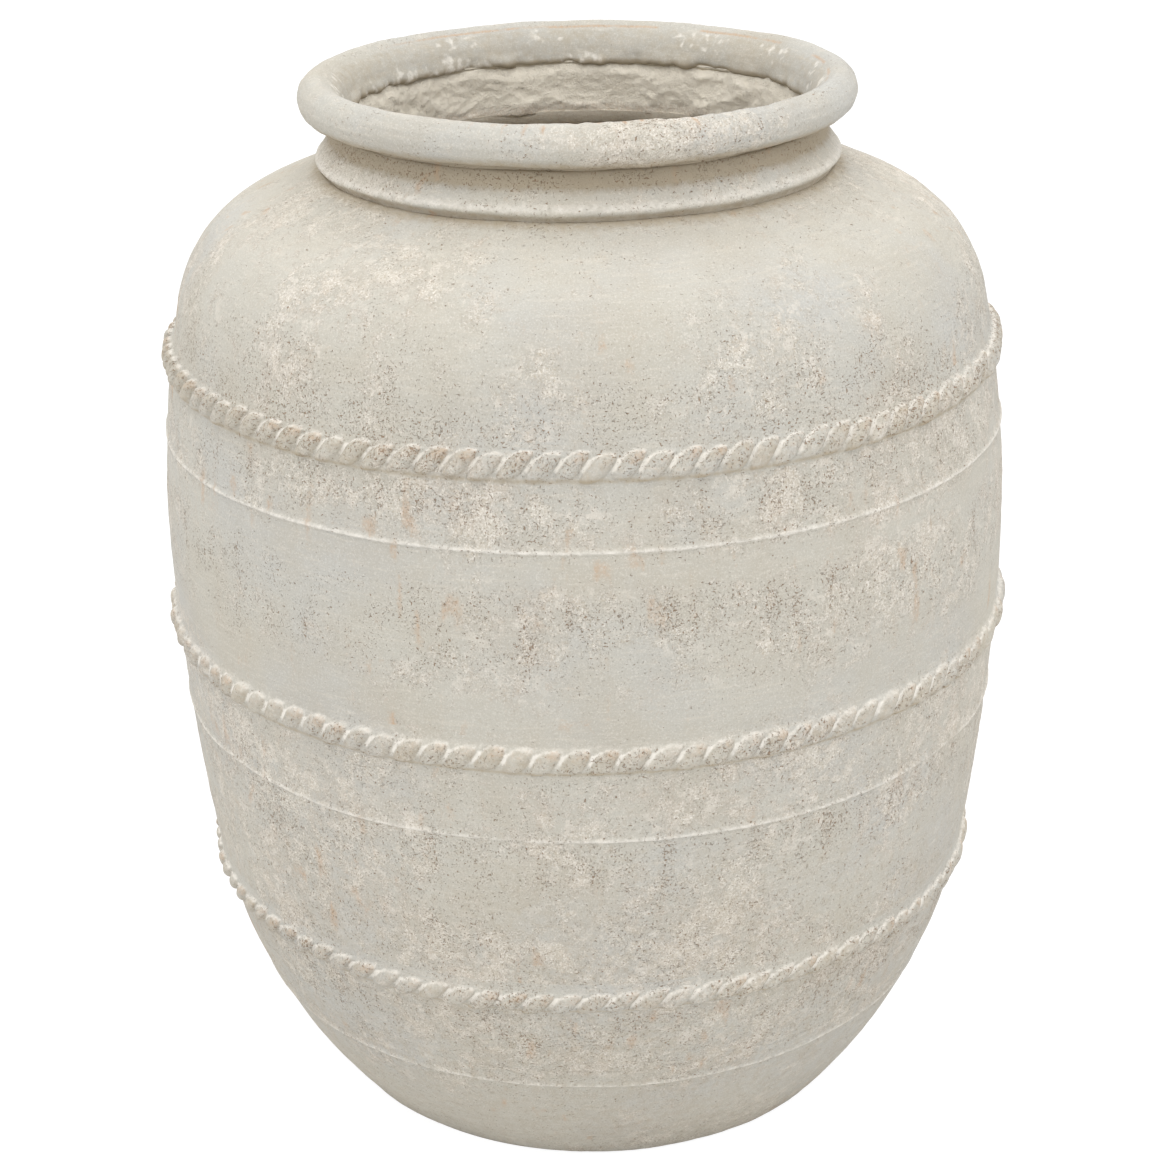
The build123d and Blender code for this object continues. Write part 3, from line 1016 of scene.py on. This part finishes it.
base()
wall_course("foot_wall", "foot_course", base_top, lower_seam)
wall_course("lower_belly_wall", "lower_belly_course", lower_seam, middle_seam)
wall_course("upper_belly_wall", "upper_belly_course", middle_seam, upper_seam)
shoulder()
collar()
neck()
rim()
neck_smear()
inner_coil()
seam_smear("lower_seam_smear", "lower_seam_lute", lower_seam)
seam_smear("middle_seam_smear", "middle_seam_lute", middle_seam)
seam_smear("upper_seam_smear", "upper_seam_lute", upper_seam)
rope_band(
    "lower_rope_lays", "lower_rope", lower_seam, rope_height=0.0180, proud=0.0062, pitch=0.0195,
    crease_depth=0.95, plastered=0.08, lean=0.43, seed=71,
)
rope_band(
    "middle_rope_lays", "middle_rope", middle_seam, rope_height=0.0195, proud=0.0062, pitch=0.0194,
    crease_depth=0.80, plastered=0.20, lean=0.32, seed=81,
)
rope_band(
    "upper_rope_lays", "upper_rope", upper_seam, rope_height=0.0200, proud=0.0072, pitch=0.0183,
    crease_depth=1.00, plastered=0.05, lean=0.43, seed=91,
)


# Studio

def seen_share(tree):
    """1 for what the camera sees, straight or by glossy or clear surfaces, and 0 for light on the jar."""
    path = add_node(tree, "ShaderNodeLightPath")
    seen = calculate(tree, "MAXIMUM", path.outputs["Is Camera Ray"], path.outputs["Is Glossy Ray"])
    return calculate(tree, "MAXIMUM", seen, path.outputs["Is Transmission Ray"])


def studio_floor():
    """A plain pale floor, white to the camera but for the jar's faint shadow."""
    floor_size, white_glow, glow_share = 40, 1.15, 0.8
    bpy.ops.mesh.primitive_plane_add(size=floor_size, location=(0, 0, 0))
    floor = bpy.context.object
    floor.name = "floor"
    material = bpy.data.materials.new("pale_floor")
    material.use_nodes = True
    tree = material.node_tree
    tree.nodes.clear()
    matt = add_node(tree, "ShaderNodeBsdfDiffuse")
    matt.inputs["Color"].default_value = (0.78, 0.78, 0.78, 1)
    glow = add_node(tree, "ShaderNodeEmission")
    glow.inputs["Strength"].default_value = white_glow
    mix = add_node(tree, "ShaderNodeMixShader")
    feed(tree, mix.inputs[0], calculate(tree, "MULTIPLY", seen_share(tree), glow_share))
    feed(tree, mix.inputs[1], matt.outputs[0])
    feed(tree, mix.inputs[2], glow.outputs[0])
    feed(tree, add_node(tree, "ShaderNodeOutputMaterial").inputs["Surface"], mix.outputs[0])
    floor.data.materials.append(material)


def studio_light():
    """An even white dome, brighter overhead, with a soft lamp in front and one at each side."""
    world = bpy.data.worlds.new("dome")
    bpy.context.scene.world = world
    world.use_nodes = True
    tree = world.node_tree
    dome = tree.nodes["Background"]
    dome.inputs["Color"].default_value = (1, 1, 1, 1)
    level_at_horizon, level_overhead, overhead_from = 0.53, 1.82, 0.9
    backdrop_white = 1.0
    heading = add_node(tree, "ShaderNodeSeparateXYZ")
    feed(tree, heading.inputs[0], add_node(tree, "ShaderNodeTexCoord").outputs["Generated"])
    level = soft_cut(tree, heading.outputs["Z"], 0.0, overhead_from, level_at_horizon, level_overhead)
    seen = add_node(tree, "ShaderNodeMix", data_type="FLOAT")
    feed(tree, seen.inputs[0], seen_share(tree))
    feed(tree, seen.inputs[2], level)
    feed(tree, seen.inputs[3], backdrop_white)
    feed(tree, dome.inputs["Strength"], seen.outputs[0])

    # Size, power and place of each lamp, all turned to the middle of the jar
    lamps = {
        "front_softbox": (1.8, 10, (0, -2.2, 2.6)),
        "left_softbox": (1.2, 2, (-2.4, 0.6, 1.3)),
        "right_softbox": (1.2, 2, (2.4, 0.6, 1.3)),
    }
    lit_place = Vector((0, 0, 0.5))
    for name, (size, power, stand) in lamps.items():
        lamp = bpy.data.objects.new(name, bpy.data.lights.new(name, "AREA"))
        lamp.data.shape = "DISK"
        lamp.data.size = size
        lamp.data.energy = power
        bpy.context.scene.collection.objects.link(lamp)
        lamp.location = stand
        lamp.rotation_euler = (lit_place - lamp.location).to_track_quat("-Z", "Y").to_euler()


def studio_camera():
    """The camera at the photograph's viewing angle."""
    distance, aim_height = 1.954, 0.384
    elevation = math.radians(22.8)
    roll = math.radians(-1.09)
    image_width, shift_pixels = 1170, -1.9
    camera = bpy.data.objects.new("camera", bpy.data.cameras.new("camera"))
    camera.data.sensor_width = 36
    camera.data.lens = 77.05
    camera.data.shift_x = shift_pixels / image_width
    bpy.context.scene.collection.objects.link(camera)
    eye = (0, -distance * math.cos(elevation), aim_height + distance * math.sin(elevation))
    tilt = Matrix.Rotation(math.pi / 2 - elevation, 4, "X")
    camera.matrix_world = Matrix.Translation(eye) @ tilt @ Matrix.Rotation(roll, 4, "Z")
    bpy.context.scene.camera = camera


studio_floor()
studio_light()
studio_camera()
bpy.context.scene.view_settings.view_transform = "Standard"
